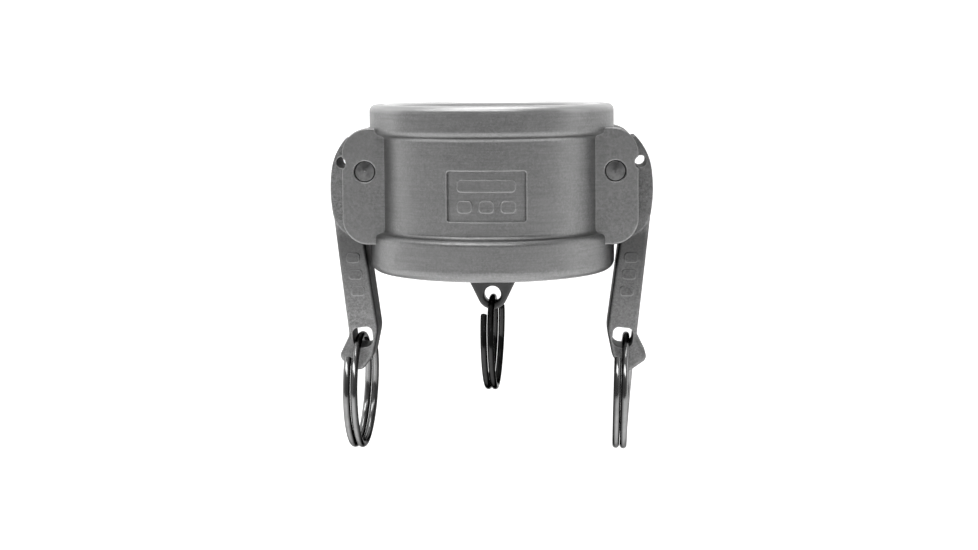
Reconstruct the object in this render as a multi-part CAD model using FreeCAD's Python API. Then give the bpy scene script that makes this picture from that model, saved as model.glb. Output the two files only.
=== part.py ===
import FreeCAD, Part
import math
import os

# A 2-inch cam-and-groove dust cap: a cast cup that closes the end of a grooved adapter.
# Millimetres. Z = 0 is the plane of the mouth's rim and +Z points out of the mouth, so the
# closed end is down. The two cam arms stand at +X and -X and turn about pins along Y.
# Every piece is drawn with the arms closed and the rings hanging.

# Cup
LIP_R = 38.0
MID_R = 35.4
BAND_R = 38.0
LIP_BOTTOM = -9.3
BAND_TOP = -39.0
BASE = -51.4
LIP_ROUND = 1.9
BASE_ROUND = 3.0
SHOULDER_ROUND = 1.8
ROOT_ROUND = 1.2

# Inside of the cup: two guide lands with a relief between them, then the gasket's groove
BORE_R = 32.15
RELIEF_R = 32.9
GROOVE_R = 33.5
MOUTH_BREAK = 0.5
UPPER_LAND_BOTTOM = -8.0
LOWER_LAND_TOP = -33.5
GROOVE_TOP = -39.8
FLOOR = -46.3
RELIEF_SLOPE = 0.7

# Gasket: 2 in inside, 2 5/8 in outside, 1/4 in thick
GASKET_IN_R = 25.4
GASKET_OUT_R = 33.35
GASKET_T = 6.35
GASKET_ROUND = 0.6

# Ear plates, two on each side of each arm
EAR_OUT_Y = 15.0
EAR_IN_Y = 8.1
EAR_END_X = 45.0
EAR_TOP = -7.0
EAR_BOTTOM = -42.55
EAR_CORNER = 8.0
EAR_ROOT_X = 29.0
EAR_EDGE_ROUND = 0.5

# Arm pivot and the safety-pin hole beside it
PIN_X = 38.1
PIN_Z = -20.2
PIN_R = 3.175
PIN_HOLE_R = 3.2
PIN_END_Y = 14.85
PIN_CONE = 0.25
PIN_EDGE = 0.3
HOLE_BREAK = 0.28
ARM_BORE_R = 3.235
POCKET_R = 12.7
SAFETY_X = 46.0
SAFETY_Z = -17.7
SAFETY_R = 1.8
SAFETY_NOTCH_R = 2.1

# Cam arm
ARM_SWING = 58.0
HEAD_R = 11.3
LOBE_R = 10.9
FLAT_OFFSET = 5.75
CROWN_R = 12.2
CROWN_ROUND = 1.0
LOBE_ROUND = 1.0
NECK_X = 36.25
HEAD_HALF_Y = 7.7
HEAD_EDGE_ROUND = 0.45
HANDLE_HALF_Y = 6.9
TAPER_START = -48.0
TAPER_SLOPE = 0.033
HANDLE_EDGE_ROUND = 1.1
RING_HOLE_X = 40.4
RING_HOLE_TOP = -69.3
RING_HOLE_FLOOR = -75.65
RING_HOLE_W = 6.3
RING_HOLE_TILT = 6.5
GRIP_BAR_RISE = 0.3

# Tether lug under the closed end
LUG_EYE_Z = -59.5
LUG_EYE_R = 2.6
LUG_TIP_R = 4.7
LUG_FLARE = 26.0
LUG_HALF_Y = 2.6
LUG_EDGE_ROUND = 0.7

# Split rings: wire, path radius, and the angle left out at each end of the coil
PULL_WIRE_R = 1.1
PULL_PATH_R = 17.1
PULL_TOP_X = 41.6
PULL_TOP_Z = -72.8
PULL_LEAN_RIGHT = 3.6
PULL_LEAN_LEFT = 0.8
TETHER_WIRE_R = 1.0
TETHER_PATH_R = 14.0
TETHER_TOP_Z = -60.7
TETHER_LEAN = 0.5
RING_YAW = -2.0
RING_END_GAP = 46.0
COIL_GAP = 0.1

# Recessed panel on the front of the cup, with plain raised bars in it
PANEL_W = 23.3
PANEL_TOP = -18.9
PANEL_BOTTOM = -33.8
PANEL_DEPTH = 0.7
PANEL_CORNER = 0.8
MARK_RISE = 0.45
MARK_H = 3.6
MARK_MARGIN = 2.6

X_AXIS = FreeCAD.Vector(1, 0, 0)
Y_AXIS = FreeCAD.Vector(0, 1, 0)
Z_AXIS = FreeCAD.Vector(0, 0, 1)
ORIGIN = FreeCAD.Vector(0, 0, 0)
FLAT = 1e-3


def at(x, z, y=0.0):
    """A point given by its X and Z first, as most outlines here lie in an XZ plane."""
    return FreeCAD.Vector(x, y, z)


def polar(centre, radius, degrees):
    """The point at an angle round a centre, from +X towards +Z."""
    angle = math.radians(degrees)
    return centre + at(radius * math.cos(angle), radius * math.sin(angle))


def arc(centre, radius, start, end):
    """A circular edge in the XZ plane, from one angle to another."""
    middle = polar(centre, radius, (start + end) / 2)
    return Part.Arc(polar(centre, radius, start), middle, polar(centre, radius, end)).toShape()


def outline(corners):
    """A closed wire through (x, z, rounding) corners, each rounded by a tangent arc."""
    points = [at(x, z) for x, z, _ in corners]
    bends = []
    for i, (_, _, radius) in enumerate(corners):
        corner = points[i]
        back = (points[i - 1] - corner).normalize()
        ahead = (points[(i + 1) % len(points)] - corner).normalize()
        half = back.getAngle(ahead) / 2
        reach = radius / math.tan(half)
        inset = radius / math.sin(half) - radius
        middle = corner + (back + ahead).normalize() * inset
        bends.append((corner + back * reach, middle, corner + ahead * reach))
    edges = []
    for i, (first, middle, last) in enumerate(bends):
        if (last - first).Length > FLAT:
            edges.append(Part.Arc(first, middle, last).toShape())
        following = bends[(i + 1) % len(bends)][0]
        if (following - last).Length > FLAT:
            edges.append(Part.LineSegment(last, following).toShape())
    return Part.Wire(edges)


def prism(wire, half_y):
    """A flat outline in the XZ plane made into a plate of the given half-thickness."""
    plate = Part.Face(wire).extrude(Y_AXIS * (2 * half_y))
    plate.translate(Y_AXIS * -half_y)
    return plate


def turned(corners):
    """A solid of revolution about Z from an (x, z, rounding) half-section."""
    return Part.Face(outline(corners)).revolve(ORIGIN, Z_AXIS, 360)


def rod(radius, x, z, half_y):
    """A cylinder along Y."""
    return Part.makeCylinder(radius, 2 * half_y, at(x, z, -half_y), Y_AXIS)


def face_edges(shape, half_y):
    """The edges that lie wholly in the two faces at plus and minus half_y."""
    found = []
    for edge in shape.Edges:
        box = edge.BoundBox
        if box.YLength < FLAT and abs(abs(box.YMin) - half_y) < FLAT:
            found.append(edge)
    return found


def mirrored(shape):
    """The same piece on the other side, at -X."""
    return shape.mirror(ORIGIN, X_AXIS)


def cup_outside():
    corners = [
        (0, BASE, 0),
        (BAND_R, BASE, BASE_ROUND),
        (BAND_R, BAND_TOP, SHOULDER_ROUND),
        (MID_R, BAND_TOP, ROOT_ROUND),
        (MID_R, LIP_BOTTOM, ROOT_ROUND),
        (LIP_R, LIP_BOTTOM, SHOULDER_ROUND),
        (LIP_R, 0, LIP_ROUND),
        (0, 0, 0),
    ]
    return turned(corners)


def cup_inside():
    above = 5.0
    corners = [
        (0, FLOOR, 0),
        (GROOVE_R, FLOOR, 0),
        (GROOVE_R, GROOVE_TOP, 0),
        (BORE_R, GROOVE_TOP, 0),
        (BORE_R, LOWER_LAND_TOP, 0),
        (RELIEF_R, LOWER_LAND_TOP + RELIEF_SLOPE, 0),
        (RELIEF_R, UPPER_LAND_BOTTOM - RELIEF_SLOPE, 0),
        (BORE_R, UPPER_LAND_BOTTOM, 0),
        (BORE_R, -MOUTH_BREAK, 0),
        (BORE_R + MOUTH_BREAK, 0, 0),
        (BORE_R + MOUTH_BREAK, above, 0),
        (0, above, 0),
    ]
    return turned(corners)


def ear_pair():
    """The two plates that carry the arm at +X, before the cup's inside is cut."""
    corners = [
        (EAR_ROOT_X, EAR_TOP, 0),
        (EAR_END_X, EAR_TOP, EAR_CORNER),
        (EAR_END_X, EAR_BOTTOM, EAR_CORNER),
        (EAR_ROOT_X, EAR_BOTTOM, 0),
    ]
    half_t = (EAR_OUT_Y - EAR_IN_Y) / 2
    plate = prism(outline(corners), half_t)
    rounded = [e for e in face_edges(plate, half_t) if e.BoundBox.XMax > EAR_ROOT_X + 1]
    plate = plate.makeFillet(EAR_EDGE_ROUND, rounded)
    pair = []
    for side in (-1, 1):
        ear = plate.copy()
        ear.translate(Y_AXIS * (side * (EAR_OUT_Y + EAR_IN_Y) / 2))
        pair.append(ear)
    return pair


def pin_hole():
    """The pin's hole through both ears, with its two outer edges broken."""
    hole = rod(PIN_HOLE_R, PIN_X, PIN_Z, EAR_OUT_Y + 1)
    for side in (-1, 1):
        mouth = at(PIN_X, PIN_Z, side * (EAR_OUT_Y + HOLE_BREAK))
        cone = Part.makeCone(PIN_HOLE_R + 2 * HOLE_BREAK, PIN_HOLE_R, 2 * HOLE_BREAK,
                             mouth, Y_AXIS * -side)
        hole = hole.fuse(cone)
    return hole


def ear_cuts():
    """What is cut on the +X side: the cam's pocket, the pin's hole and the safety notch."""
    pocket = rod(POCKET_R, PIN_X, PIN_Z, EAR_IN_Y)
    notch = rod(SAFETY_NOTCH_R, SAFETY_X, SAFETY_Z, EAR_OUT_Y + 1)
    return [pocket, pin_hole(), notch]


def tether_lug():
    """The flat eye under the closed end; its sides flare up into the cup's base."""
    flare = math.radians(LUG_FLARE)
    apex = LUG_EYE_Z - LUG_TIP_R / math.sin(flare)
    root = BASE + 1.5
    half_w = (root - apex) * math.tan(flare)
    corners = [(-half_w, root, 0), (0, apex, LUG_TIP_R), (half_w, root, 0)]
    plate = prism(outline(corners), LUG_HALF_Y)
    plate = plate.cut(rod(LUG_EYE_R, 0, LUG_EYE_Z, LUG_HALF_Y + 1))
    rounded = [e for e in face_edges(plate, LUG_HALF_Y) if e.BoundBox.ZMin < root - 1]
    return plate.makeFillet(LUG_EDGE_ROUND, rounded)


def front_block(x, z, half_w, half_h, corner, inner_r, outer_r):
    """A rounded block on the front of the cup, between two radii."""
    corners = [
        (x - half_w, z - half_h, corner),
        (x + half_w, z - half_h, corner),
        (x + half_w, z + half_h, corner),
        (x - half_w, z + half_h, corner),
    ]
    block = Part.Face(outline(corners)).extrude(Y_AXIS * -(outer_r + 1))
    height = 2 * half_h + 2
    low = at(0, z - half_h - 1)
    shell = Part.makeCylinder(outer_r, height, low).cut(Part.makeCylinder(inner_r, height, low))
    return block.common(shell)


def panel():
    middle = (PANEL_TOP + PANEL_BOTTOM) / 2
    half_h = (PANEL_TOP - PANEL_BOTTOM) / 2
    return front_block(0, middle, PANEL_W / 2, half_h, PANEL_CORNER,
                       MID_R - PANEL_DEPTH, MID_R + 1)


def panel_marks():
    """Plain raised bars in the panel: one long, and a row of three short."""
    floor_r = MID_R - PANEL_DEPTH
    half_h = MARK_H / 2
    bars = [(0, PANEL_TOP - MARK_MARGIN - half_h, 8.6)]
    for i in (-1, 0, 1):
        bars.append((6.4 * i, PANEL_BOTTOM + MARK_MARGIN + half_h, 2.2))
    return [front_block(x, z, half_w, half_h, 1.2, floor_r - 0.5, floor_r + MARK_RISE)
            for x, z, half_w in bars]


def cap_body():
    ears = ear_pair()
    ears += [mirrored(ear) for ear in ears]
    cuts = ear_cuts()
    cuts += [mirrored(cut) for cut in cuts]
    body = cup_outside().fuse(ears + [tether_lug()])
    body = body.cut([cup_inside(), panel()] + cuts)
    return body.fuse(panel_marks()).removeSplitter()


def face_gasket():
    top = FLOOR + GASKET_T
    corners = [
        (GASKET_IN_R, FLOOR, GASKET_ROUND),
        (GASKET_OUT_R, FLOOR, GASKET_ROUND),
        (GASKET_OUT_R, top, GASKET_ROUND),
        (GASKET_IN_R, top, GASKET_ROUND),
    ]
    return turned(corners)


def pivot_pin():
    """A plain pin with turned, shallow conical ends."""
    rim_y = PIN_END_Y - PIN_CONE
    section = [
        at(0, 0, -PIN_END_Y),
        at(PIN_R - PIN_EDGE, 0, -rim_y),
        at(PIN_R, 0, -rim_y + PIN_EDGE),
        at(PIN_R, 0, rim_y - PIN_EDGE),
        at(PIN_R - PIN_EDGE, 0, rim_y),
        at(0, 0, PIN_END_Y),
    ]
    pin = Part.Face(Part.makePolygon(section + section[:1])).revolve(ORIGIN, Y_AXIS, 360)
    pin.translate(at(PIN_X, PIN_Z))
    return pin


def cam_head():
    """The arm's head: a round back, a flat that clears the bore when open, and the cam lobe."""
    pin = at(PIN_X, PIN_Z)
    flat_normal = 180 - ARM_SWING
    crown = flat_normal - math.degrees(math.acos(FLAT_OFFSET / CROWN_R))
    lobe_start = flat_normal + math.degrees(math.acos(FLAT_OFFSET / LOBE_R))
    neck_angle = 180 + math.degrees(math.acos((PIN_X - NECK_X) / LOBE_R))
    temple = polar(pin, HEAD_R + 0.2, 45)
    side = polar(pin, HEAD_R, 0)
    back = at(49.75, -26.9)
    shoulder = at(49.0, -34.1)
    pad_low = at(46.0, -39.1)
    foot = at(39.9, -41.6)
    neck_low = at(NECK_X, -37.4)
    edges = [
        Part.Arc(polar(pin, CROWN_R, crown), temple, side).toShape(),
        Part.Arc(side, back, shoulder).toShape(),
        Part.Arc(shoulder, pad_low, foot).toShape(),
        Part.LineSegment(foot, neck_low).toShape(),
        Part.LineSegment(neck_low, polar(pin, LOBE_R, neck_angle)).toShape(),
        arc(pin, LOBE_R, neck_angle, lobe_start),
        Part.LineSegment(polar(pin, LOBE_R, lobe_start), polar(pin, CROWN_R, crown)).toShape(),
    ]
    head = prism(Part.Wire(edges), HEAD_HALF_Y)
    for corner, radius in ((polar(pin, CROWN_R, crown), CROWN_ROUND),
                           (polar(pin, LOBE_R, lobe_start), LOBE_ROUND)):
        sharp = [e for e in head.Edges if (e.CenterOfMass - corner).Length < 0.1]
        head = head.makeFillet(radius, sharp)
    return head.makeFillet(HEAD_EDGE_ROUND, face_edges(head, HEAD_HALF_Y))


def handle_half_y(z):
    """Half the handle's thickness, which falls steadily towards the tip."""
    return HANDLE_HALF_Y - TAPER_SLOPE * max(0, TAPER_START - z)


def ring_hole():
    """The rounded square hole that the pull ring hangs in, tilted with the handle."""
    half_w = RING_HOLE_W / 2
    half_h = (RING_HOLE_TOP - RING_HOLE_FLOOR) / 2
    corners = [(-half_w, -half_h, 2.6), (half_w, -half_h, 2.6),
               (half_w, half_h, 1.8), (-half_w, half_h, 1.8)]
    hole = prism(outline(corners), HANDLE_HALF_Y + 1)
    hole.rotate(ORIGIN, Y_AXIS, RING_HOLE_TILT)
    hole.translate(at(RING_HOLE_X, RING_HOLE_FLOOR + half_h))
    return hole


def side_edges(shape):
    """The handle's edges that stay on one side of it and run downwards."""
    found = []
    for edge in shape.Edges:
        box = edge.BoundBox
        crosses = box.YMin < 0 < box.YMax
        if not crosses and box.ZLength > FLAT:
            found.append(edge)
    return found


def handle():
    """The solid bar below the head, narrowing a little to a tip that kicks outwards."""
    corners = [
        (38.9, -29.0, 0),
        (48.2, -29.0, 0),
        (49.1, -33.6, 6),
        (44.7, -71.9, 4),
        (48.2, -79.0, 2.2),
        (41.4, -83.8, 2.6),
        (37.2, -78.4, 5),
        (35.5, -70.0, 9),
        (39.3, -43.0, 6),
    ]
    top = -20.0
    end = -90.0
    plan = [at(0, z, side * handle_half_y(z)) for side, z in
            ((-1, top), (1, top), (1, TAPER_START), (1, end), (-1, end), (-1, TAPER_START))]
    taper = Part.Face(Part.makePolygon(plan + plan[:1])).extrude(X_AXIS * 60)
    bar = prism(outline(corners), HANDLE_HALF_Y).common(taper)
    bar = bar.makeFillet(HANDLE_EDGE_ROUND, side_edges(bar))
    return bar.cut(ring_hole())


def grip_bars():
    """Plain raised bars on both sides of the handle."""
    bars = []
    for i in range(3):
        z = -47.5 - 5.2 * i
        x = 43.1 - 0.7 * i
        corners = [(x - 2.1, z - 1.5, 1.0), (x + 2.1, z - 1.5, 1.0),
                   (x + 2.1, z + 1.5, 1.0), (x - 2.1, z + 1.5, 1.0)]
        bars.append(prism(outline(corners), handle_half_y(z) + GRIP_BAR_RISE))
    return bars


def cam_arm():
    arm = cam_head().fuse([handle()] + grip_bars())
    arm = arm.cut([rod(ARM_BORE_R, PIN_X, PIN_Z, HEAD_HALF_Y + 1),
                   rod(SAFETY_R, SAFETY_X, SAFETY_Z, HEAD_HALF_Y + 1)])
    return arm.removeSplitter()


def split_ring(wire_r, path_r, top):
    """A split ring hanging in a YZ plane, its single strand centred on the point top.

    The coil is a little under two turns of wire lying side by side. Each half turn is a flat
    arc, tilted so that its two ends are half a pitch apart, and neighbouring arcs share
    a tangent at the top and bottom. The arcs run down the front and up the back in turn.
    """
    pitch = 2 * wire_r + COIL_GAP
    tilt = math.degrees(math.asin(pitch / (4 * path_r)))
    full = 180 - RING_END_GAP
    halves = [(-0.75, -tilt, -full, 0), (-0.25, tilt, 0, 180),
              (0.25, -tilt, -180, 0), (0.75, tilt, 0, full)]
    path = []
    for offset, lean, start, end in halves:
        points = []
        for angle in (start, (start + end) / 2, end):
            turn = math.radians(angle)
            point = FreeCAD.Vector(0, path_r * math.sin(turn), -path_r * math.cos(turn))
            point = FreeCAD.Rotation(Y_AXIS, lean).multVec(point)
            points.append(point + X_AXIS * (offset * pitch))
        path.append(Part.Arc(*points).toShape())
    spine = Part.Wire(path)
    first = path[0]
    start_point = first.valueAt(first.FirstParameter)
    direction = first.tangentAt(first.FirstParameter)
    section = Part.Wire(Part.makeCircle(wire_r, start_point, direction))
    coil = spine.makePipeShell([section], True, False)
    coil.translate(Z_AXIS * -path_r)
    coil.rotate(ORIGIN, Z_AXIS, RING_YAW)
    coil.translate(top)
    return coil


def pull_ring(side, lean):
    """The ring through one arm's tip, hanging with its lower end a little towards -X."""
    top = at(side * PULL_TOP_X, PULL_TOP_Z)
    ring = split_ring(PULL_WIRE_R, PULL_PATH_R, top)
    ring.rotate(top, Y_AXIS, lean)
    return ring


def tether_ring():
    top = at(0, TETHER_TOP_Z)
    ring = split_ring(TETHER_WIRE_R, TETHER_PATH_R, top)
    ring.rotate(top, Y_AXIS, TETHER_LEAN)
    return ring


os.makedirs("parts", exist_ok=True)
right_arm = cam_arm()
right_pin = pivot_pin()
nodes = {
    "cap_body": cap_body(),
    "face_gasket": face_gasket(),
    "cam_arm_right": right_arm,
    "cam_arm_left": mirrored(right_arm),
    "pivot_pin_right": right_pin,
    "pivot_pin_left": mirrored(right_pin),
    "pull_ring_right": pull_ring(1, PULL_LEAN_RIGHT),
    "pull_ring_left": pull_ring(-1, PULL_LEAN_LEFT),
    "tether_ring": tether_ring(),
}
for name, shape in nodes.items():
    print(name, len(shape.Solids), shape.isValid(), round(shape.Volume, 1), shape.BoundBox)
    shape.Solids[0].exportStep(f"parts/{name}.step")
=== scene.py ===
import math

import bpy
from mathutils import Matrix, Vector


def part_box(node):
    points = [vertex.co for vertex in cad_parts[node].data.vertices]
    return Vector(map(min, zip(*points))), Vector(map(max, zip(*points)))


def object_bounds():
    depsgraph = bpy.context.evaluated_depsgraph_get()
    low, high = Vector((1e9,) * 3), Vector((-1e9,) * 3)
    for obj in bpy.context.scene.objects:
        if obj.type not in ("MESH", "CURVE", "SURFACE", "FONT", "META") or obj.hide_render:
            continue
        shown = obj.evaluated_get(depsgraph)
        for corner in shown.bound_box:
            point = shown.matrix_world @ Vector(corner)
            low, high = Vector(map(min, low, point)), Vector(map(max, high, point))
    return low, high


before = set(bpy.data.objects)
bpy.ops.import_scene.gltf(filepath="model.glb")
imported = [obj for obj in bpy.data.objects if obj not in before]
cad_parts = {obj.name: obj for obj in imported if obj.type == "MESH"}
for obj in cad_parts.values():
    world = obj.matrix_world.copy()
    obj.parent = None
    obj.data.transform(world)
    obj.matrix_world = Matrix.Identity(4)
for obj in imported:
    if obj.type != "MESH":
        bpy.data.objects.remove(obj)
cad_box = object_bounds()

# The looks of a cast stainless cam-and-groove dust cap, in metres. Every shape is the frame's
# own; this script gives it materials, a white studio and a camera.

MM = 0.001

# Camera, in degrees where it is turned
EYE = Vector((24.75, -489.4, 10.5)) * MM
HEADING = 3.0
PITCH = 3.0
ROLL = -0.42
LENS = 57.8
SHIFT_Y = -0.1255

# Grey levels of the metals and how rough they are
CAP_LEVEL = 0.25
# Painted shade: the right arm is set darker than the left, a shaded copy of the same casting.
ARM_RIGHT_LEVEL = 0.205
ARM_LEFT_LEVEL = 0.26
PULL_WIRE_LEVEL = 0.28
# Painted shade: the tether ring is set far darker than the pull rings of the same spring wire.
TETHER_WIRE_LEVEL = 0.05
CAP_ROUGH = 0.40
ARM_ROUGH = 0.42
PIN_ROUGH = 0.36
PULL_WIRE_ROUGH = 0.12
TETHER_WIRE_ROUGH = 0.10
CAP_SPECKLE = 0.2
ARM_SPECKLE = 0.38

# Where the cap's finish and painted light change, in millimetres: out to TURNED_R it is turned,
# in to BORED_R it has a bore finish brightened with painted light, above RIM_Z it is lightened
# as a painted highlight, and below BASE_Z darkened with painted shade under the cup
TURNED_R = 38.3
BORED_R = 34.0
BORED_Z = -47.2
RIM_Z = -2.4
BASE_Z = -51.4

# Where an arm is darkened with painted shade, in millimetres: between these heights, beside the cup
SHADED_TOP = -37.0
SHADED_FULL = (-44.0, -41.0)
SHADED_END = -66.0

# Studio
WORLD_FRONT = 0.12
WORLD_BACK = 0.95
FLOOR_DROP = 0.25
FLOOR_GLOW = 0.45
LIGHTS = [
    # name, place, aimed at, width, height, watts
    ("top", (0.0, 0.1, 1.3), (0, 0, 0), 1.0, 0.7, 7.0),
    ("front", (-0.35, -0.9, 1.1), (0, 0, -0.02), 2.2, 0.45, 13.0),
    ("left", (-1.25, 0.3, 0.35), (0, 0, -0.03), 0.5, 1.2, 1.8),
    ("right", (1.3, -0.1, 0.35), (0, 0, -0.03), 0.5, 1.2, 1.8),
]


# ---------------------------------------------------------------- shader building blocks

class Shader:
    """A node tree for one material, with short calls for the nodes used below."""

    def __init__(self, name):
        self.material = bpy.data.materials.new(name)
        self.material.use_nodes = True
        self.tree = self.material.node_tree
        self.principled = self.tree.nodes["Principled BSDF"]
        self.place = self.add("ShaderNodeTexCoord").outputs["Object"]

    def add(self, kind, inputs=(), **settings):
        node = self.tree.nodes.new(kind)
        for key, value in settings.items():
            setattr(node, key, value)
        for socket, value in dict(inputs).items():
            self.set(node.inputs[socket], value)
        return node

    def set(self, socket, value):
        if isinstance(value, bpy.types.NodeSocket):
            self.tree.links.new(value, socket)
        else:
            socket.default_value = value

    def axes(self):
        """The object's own X, Y and Z, in millimetres."""
        scaled = self.add("ShaderNodeVectorMath", {0: self.place, 1: (1 / MM, 1 / MM, 1 / MM)},
                          operation="MULTIPLY").outputs["Vector"]
        return self.add("ShaderNodeSeparateXYZ", {"Vector": scaled}).outputs

    def facing(self, side, low, high):
        """How far the surface faces inwards, away from its side of the cup, from 0 to 1."""
        normal = self.add("ShaderNodeTexCoord").outputs["Normal"]
        toward = self.add("ShaderNodeVectorMath", {0: normal, 1: (-side, 0, 0)},
                          operation="DOT_PRODUCT").outputs["Value"]
        return self.spread(toward, low, high)

    def noise(self, per_mm, detail=3.0, rough=0.55, where=None):
        node = self.add("ShaderNodeTexNoise", {
            "Vector": where or self.place, "Scale": per_mm / MM, "Detail": detail,
            "Roughness": rough})
        return node.outputs["Fac"]

    def spread(self, value, low, high, at_low=0.0, at_high=1.0):
        node = self.add("ShaderNodeMapRange", {
            "Value": value, "From Min": low, "From Max": high,
            "To Min": at_low, "To Max": at_high})
        return node.outputs["Result"]

    def maths(self, operation, a, b):
        node = self.add("ShaderNodeMath", {0: a, 1: b}, operation=operation)
        return node.outputs["Value"]

    def mix(self, factor, a, b):
        node = self.add("ShaderNodeMix", data_type="RGBA")
        self.set(node.inputs["Factor"], factor)
        self.set(node.inputs[6], a)
        self.set(node.inputs[7], b)
        return node.outputs[2]

    def bump(self, height, depth_mm, strength=1.0, after=None):
        inputs = {"Height": height, "Distance": depth_mm * MM, "Strength": strength}
        if after is not None:
            inputs["Normal"] = after
        return self.add("ShaderNodeBump", inputs).outputs["Normal"]

    def finish(self, **inputs):
        names = {"colour": "Base Color", "metal": "Metallic", "rough": "Roughness",
                 "normal": "Normal", "anisotropy": "Anisotropic", "tangent": "Tangent",
                 "specular": "Specular IOR Level", "grazing": "Specular Tint"}
        for key, value in inputs.items():
            self.set(self.principled.inputs[names[key]], value)
        return self.material


def grey(level):
    return (level, level, level, 1.0)


def casting(s, level, rough, speckle):
    """Bead-blasted investment casting: fine grain, slow waviness, painted highlights on edges,
    painted shade in corners.

    Gives the tone, the roughness and the normal, for a material to finish.
    """
    soft_edges = s.add("ShaderNodeBevel", {"Radius": 0.35 * MM}, samples=6).outputs["Normal"]
    wide_edges = s.add("ShaderNodeBevel", {"Radius": 0.8 * MM}, samples=8).outputs["Normal"]
    plain = s.add("ShaderNodeNewGeometry").outputs["Normal"]
    turn = s.add("ShaderNodeVectorMath", {0: wide_edges, 1: plain},
                 operation="DOT_PRODUCT").outputs["Value"]
    crevice = s.add("ShaderNodeAmbientOcclusion", {"Distance": 1.2 * MM}, samples=6).outputs["AO"]
    waves = s.noise(0.09, detail=2.0)
    grain = s.noise(1.5, detail=4.0, rough=0.75)
    dimples = s.noise(2.6, detail=2.0, rough=0.6)
    scuffs = s.noise(0.35, detail=5.0, rough=0.65)
    tone = s.mix(s.spread(grain, 0.36, 0.64),
                 grey(level * (1 - speckle)), grey(level * (1 + speckle)))
    tone = s.mix(s.spread(waves, 0.35, 0.65, 0.0, 0.5), tone, grey(level * 1.08))
    tone = s.mix(s.spread(scuffs, 0.56, 0.74, 0.0, 0.4), tone, grey(level * 0.75))
    # Painted shade: corners and creases found by the short occlusion are darkened.
    tone = s.mix(s.spread(crevice, 0.25, 0.65, 0.12, 0.0), tone, grey(level * 0.3))
    # Painted highlight: convex edges, where the wide bevel turns the normal, are lightened; the
    # occlusion keeps it off concave roots.
    painted_edge_highlight = s.maths("MULTIPLY", s.spread(turn, 0.9, 0.99, 0.7, 0.0), s.spread(crevice, 0.7, 0.9))
    tone = s.mix(painted_edge_highlight, tone, grey(level * 1.9))
    roughness = s.maths("ADD", s.spread(scuffs, 0.3, 0.7, -0.05, 0.06),
                        s.spread(grain, 0.3, 0.7, rough - 0.05, rough + 0.05))
    normal = s.bump(waves, 0.25, 0.35, after=soft_edges)
    normal = s.bump(dimples, 0.05, 0.7, after=normal)
    return tone, roughness, normal


def cap_steel(name, level):
    """The cap's casting: faint turned lines outside, a bore finish brightened with painted light, a
    painted highlight on the rim, and painted shade on the lug below.
    """
    s = Shader(name)
    tone, roughness, normal = casting(s, level, CAP_ROUGH, CAP_SPECKLE)
    x, y, z = s.axes()
    square = s.maths("ADD", s.maths("MULTIPLY", x, x), s.maths("MULTIPLY", y, y))
    radius = s.maths("SQRT", square, 0.0)
    along = s.add("ShaderNodeMapping", {"Vector": s.place, "Scale": (0.05, 0.05, 1.0)})
    lines = s.noise(1.6, detail=3.0, rough=0.7, where=along.outputs["Vector"])
    turned = s.maths("MULTIPLY", s.spread(radius, TURNED_R, TURNED_R + 0.5, 1.0, 0.0),
                     s.spread(z, BASE_Z - 0.6, BASE_Z))
    tone = s.mix(s.maths("MULTIPLY", turned, s.spread(lines, 0.42, 0.7, 0.0, 0.45)),
                 tone, grey(level * 0.72))
    normal = s.bump(s.maths("MULTIPLY", lines, turned), 0.03, 0.5, after=normal)
    # The bore finish is lighter and less metallic, as painted light in the shaded mouth.
    bore_finish_and_painted_light = s.maths("MULTIPLY", s.spread(radius, BORED_R - 0.4, BORED_R, 1.0, 0.0),
                    s.spread(z, BORED_Z, BORED_Z + 0.6))
    # Painted highlight: the top of the rim is lightened.
    rim = s.spread(z, RIM_Z, RIM_Z + 1.7, 0.0, 0.8)
    tone = s.mix(rim, tone, grey(level * 2.2))
    tone = s.mix(bore_finish_and_painted_light, tone, grey(0.75))
    # Painted shade: the lug under the cup is darkened.
    lug = s.spread(z, BASE_Z - 1.8, BASE_Z - 0.2, 0.9, 0.0)
    tone = s.mix(lug, tone, grey(level * 0.25))
    return s.finish(colour=tone, metal=s.spread(bore_finish_and_painted_light, 0.0, 1.0, 1.0, 0.35), rough=roughness,
                    normal=normal)


def arm_steel(name, level, side):
    """An arm's casting, darkened with painted shade beside the cup and on its inner face."""
    s = Shader(name)
    tone, roughness, normal = casting(s, level, ARM_ROUGH, ARM_SPECKLE)
    height = s.axes()[2]
    # Painted shade: the arm is darkened between these heights, beside the cup.
    shaded = s.maths("MULTIPLY", s.spread(height, SHADED_END, SHADED_FULL[0]),
                     s.spread(height, SHADED_FULL[1], SHADED_TOP, 1.0, 0.0))
    tone = s.mix(s.maths("MULTIPLY", shaded, 0.75), tone, grey(level * 0.45))
    # Painted shade: the face turned towards the cup is darkened.
    tone = s.mix(s.maths("MULTIPLY", s.facing(side, 0.2, 0.8), 0.9), tone, grey(level * 0.1))
    return s.finish(colour=tone, metal=1.0, rough=roughness, normal=normal, grazing=grey(0.35))


def turned_steel(name, centre):
    """Lathe-turned pin: fine rings about the pin's own Y axis."""
    s = Shader(name)
    moved = s.add("ShaderNodeMapping", {"Vector": s.place, "Location": -centre}).outputs["Vector"]
    rings = s.add("ShaderNodeTexWave", {"Vector": moved, "Scale": 0.9 / MM, "Distortion": 0.15},
                  wave_type="RINGS", rings_direction="Y").outputs["Fac"]
    soft_edges = s.add("ShaderNodeBevel", {"Radius": 0.2 * MM}, samples=6).outputs["Normal"]
    around = s.add("ShaderNodeTangent", direction_type="RADIAL", axis="Y").outputs["Tangent"]
    tone = s.mix(s.spread(s.noise(0.6, detail=4.0), 0.4, 0.7), grey(0.20), grey(0.12))
    normal = s.bump(rings, 0.02, 0.5, after=soft_edges)
    return s.finish(colour=tone, metal=1.0, rough=PIN_ROUGH, normal=normal,
                    anisotropy=0.7, tangent=around)


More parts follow.
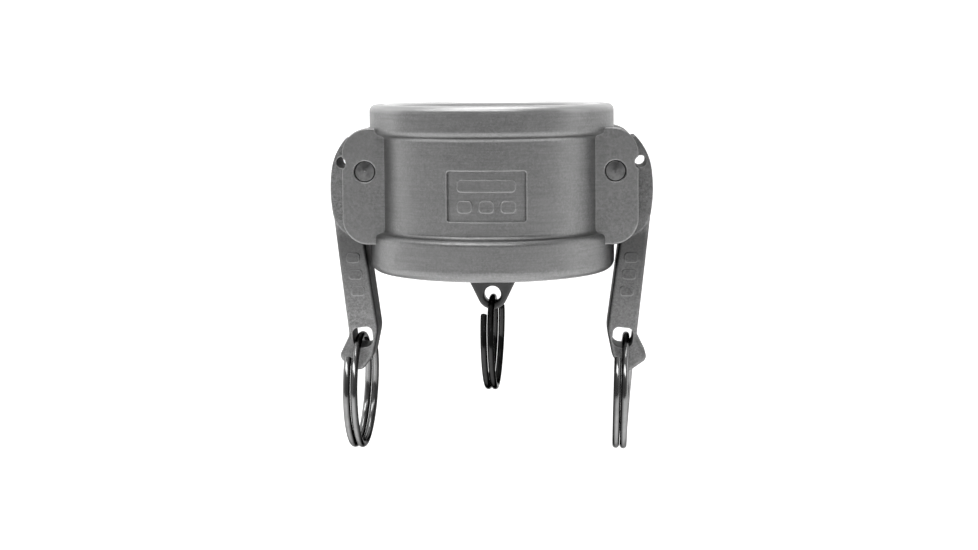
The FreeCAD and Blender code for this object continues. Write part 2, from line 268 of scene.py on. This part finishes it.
def bright_wire(name, level, rough, side):
    """Hard-drawn spring wire: nearly polished, darkened with painted shade between the turns and on
    its inner side.
    """
    s = Shader(name)
    haze = s.noise(0.25, detail=4.0, rough=0.6)
    marks = s.noise(3.0, detail=3.0)
    between = s.add("ShaderNodeAmbientOcclusion", {"Distance": 2.5 * MM}, samples=6).outputs["AO"]
    tone = s.mix(s.spread(haze, 0.45, 0.7), grey(level), grey(level * 0.8))
    # Painted shade: dark between the turns, where the occlusion finds them close, and on the side
    # facing the cup.
    painted_shade = s.maths("MAXIMUM", s.spread(between, 0.6, 0.95, 0.9, 0.0),
                    s.maths("MULTIPLY", s.facing(side, 0.1, 0.65), 0.9))
    tone = s.mix(painted_shade, tone, grey(level * 0.06))
    roughness = s.spread(haze, 0.35, 0.7, rough, rough + 0.06)
    return s.finish(colour=tone, metal=1.0, rough=roughness, grazing=grey(0.3),
                    normal=s.bump(marks, 0.01, 0.4))


def moulded_rubber(name):
    """Black nitrile: matt, slightly mottled, with a dusty bloom."""
    s = Shader(name)
    bloom = s.noise(0.3, detail=5.0, rough=0.65)
    skin = s.noise(4.0, detail=2.0)
    tone = s.mix(s.spread(bloom, 0.45, 0.75), grey(0.018), grey(0.05))
    return s.finish(colour=tone, rough=s.spread(bloom, 0.3, 0.7, 0.5, 0.68), specular=0.4,
                    normal=s.bump(skin, 0.02, 0.5))


def dress(node, material):
    """Gives a CAD node one material in place of its plain one."""
    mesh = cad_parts[node].data
    mesh.materials.clear()
    mesh.materials.append(material)


# ---------------------------------------------------------------- the object

dress("cap_body", cap_steel("cast_body", CAP_LEVEL))
for side, outward, arm_level in (("right", 1, ARM_RIGHT_LEVEL), ("left", -1, ARM_LEFT_LEVEL)):
    dress(f"cam_arm_{side}", arm_steel(f"cast_arm_{side}", arm_level, outward))
    low, high = (Vector(corner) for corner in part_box(f"pivot_pin_{side}"))
    dress(f"pivot_pin_{side}", turned_steel(f"turned_{side}", (low + high) / 2))
    dress(f"pull_ring_{side}",
          bright_wire(f"pull_wire_{side}", PULL_WIRE_LEVEL, PULL_WIRE_ROUGH, outward))
dress("tether_ring", bright_wire("tether_wire", TETHER_WIRE_LEVEL, TETHER_WIRE_ROUGH, -1))
dress("face_gasket", moulded_rubber("rubber"))


# ---------------------------------------------------------------- the studio

def sweep_profile(floor_z):
    """Side view of a paper sweep: floor, a quarter turn and a wall, as (y, z) points."""
    back, bend, top, front = 1.6, 0.8, 3.2, -3.0
    points = [(front, floor_z), (back - bend, floor_z)]
    steps = 24
    for i in range(1, steps + 1):
        angle = math.pi / 2 * i / steps
        points.append((back - bend + bend * math.sin(angle), floor_z + bend - bend * math.cos(angle)))
    points.append((back, top))
    return points


def paper_sweep(floor_z):
    half_width = 4.0
    vertices = [(x, y, z) for y, z in sweep_profile(floor_z) for x in (-half_width, half_width)]
    faces = [(i, i + 1, i + 3, i + 2) for i in range(0, len(vertices) - 2, 2)]
    mesh = bpy.data.meshes.new("floor")
    mesh.from_pydata(vertices, [], faces)
    for polygon in mesh.polygons:
        polygon.use_smooth = True
    paper = bpy.data.materials.new("white_paper")
    paper.use_nodes = True
    surface = paper.node_tree.nodes["Principled BSDF"]
    surface.inputs["Base Color"].default_value = grey(0.92)
    surface.inputs["Roughness"].default_value = 0.95
    surface.inputs["Specular IOR Level"].default_value = 0.1
    surface.inputs["Emission Color"].default_value = grey(1.0)
    surface.inputs["Emission Strength"].default_value = FLOOR_GLOW
    mesh.materials.append(paper)
    floor = bpy.data.objects.new("floor", mesh)
    bpy.context.collection.objects.link(floor)


def soft_light(name, place, target, width, height, watts):
    data = bpy.data.lights.new(name, "AREA")
    data.shape = "RECTANGLE"
    data.size = width
    data.size_y = height
    data.energy = watts
    lamp = bpy.data.objects.new(name, data)
    lamp.location = place
    lamp.rotation_euler = (Vector(target) - Vector(place)).to_track_quat("-Z", "Y").to_euler()
    bpy.context.collection.objects.link(lamp)


def studio_world(front, back):
    """Even grey light that is dim on the photographer's side and bright behind the object."""
    world = bpy.data.worlds.new("studio")
    world.use_nodes = True
    nodes, links = world.node_tree.nodes, world.node_tree.links
    direction = nodes.new("ShaderNodeTexCoord").outputs["Generated"]
    parts = nodes.new("ShaderNodeSeparateXYZ")
    level = nodes.new("ShaderNodeMapRange")
    level.inputs["From Min"].default_value = -1.0
    level.inputs["To Min"].default_value = front
    level.inputs["To Max"].default_value = back
    links.new(direction, parts.inputs["Vector"])
    links.new(parts.outputs["Y"], level.inputs["Value"])
    background = nodes["Background"]
    background.inputs["Color"].default_value = grey(1.0)
    links.new(level.outputs["Result"], background.inputs["Strength"])
    bpy.context.scene.world = world


def camera():
    data = bpy.data.cameras.new("camera")
    data.lens = LENS
    data.shift_y = SHIFT_Y
    data.clip_start = 0.01
    eye = bpy.data.objects.new("camera", data)
    turn = (Matrix.Rotation(math.radians(HEADING), 4, "Z")
            @ Matrix.Rotation(math.radians(90 - PITCH), 4, "X")
            @ Matrix.Rotation(math.radians(ROLL), 4, "Z"))
    eye.matrix_world = Matrix.Translation(EYE) @ turn
    bpy.context.collection.objects.link(eye)
    bpy.context.scene.camera = eye


paper_sweep(cad_box[0][2] - FLOOR_DROP)
for light in LIGHTS:
    soft_light(*light)
studio_world(WORLD_FRONT, WORLD_BACK)
camera()
bpy.context.scene.view_settings.view_transform = "Standard"
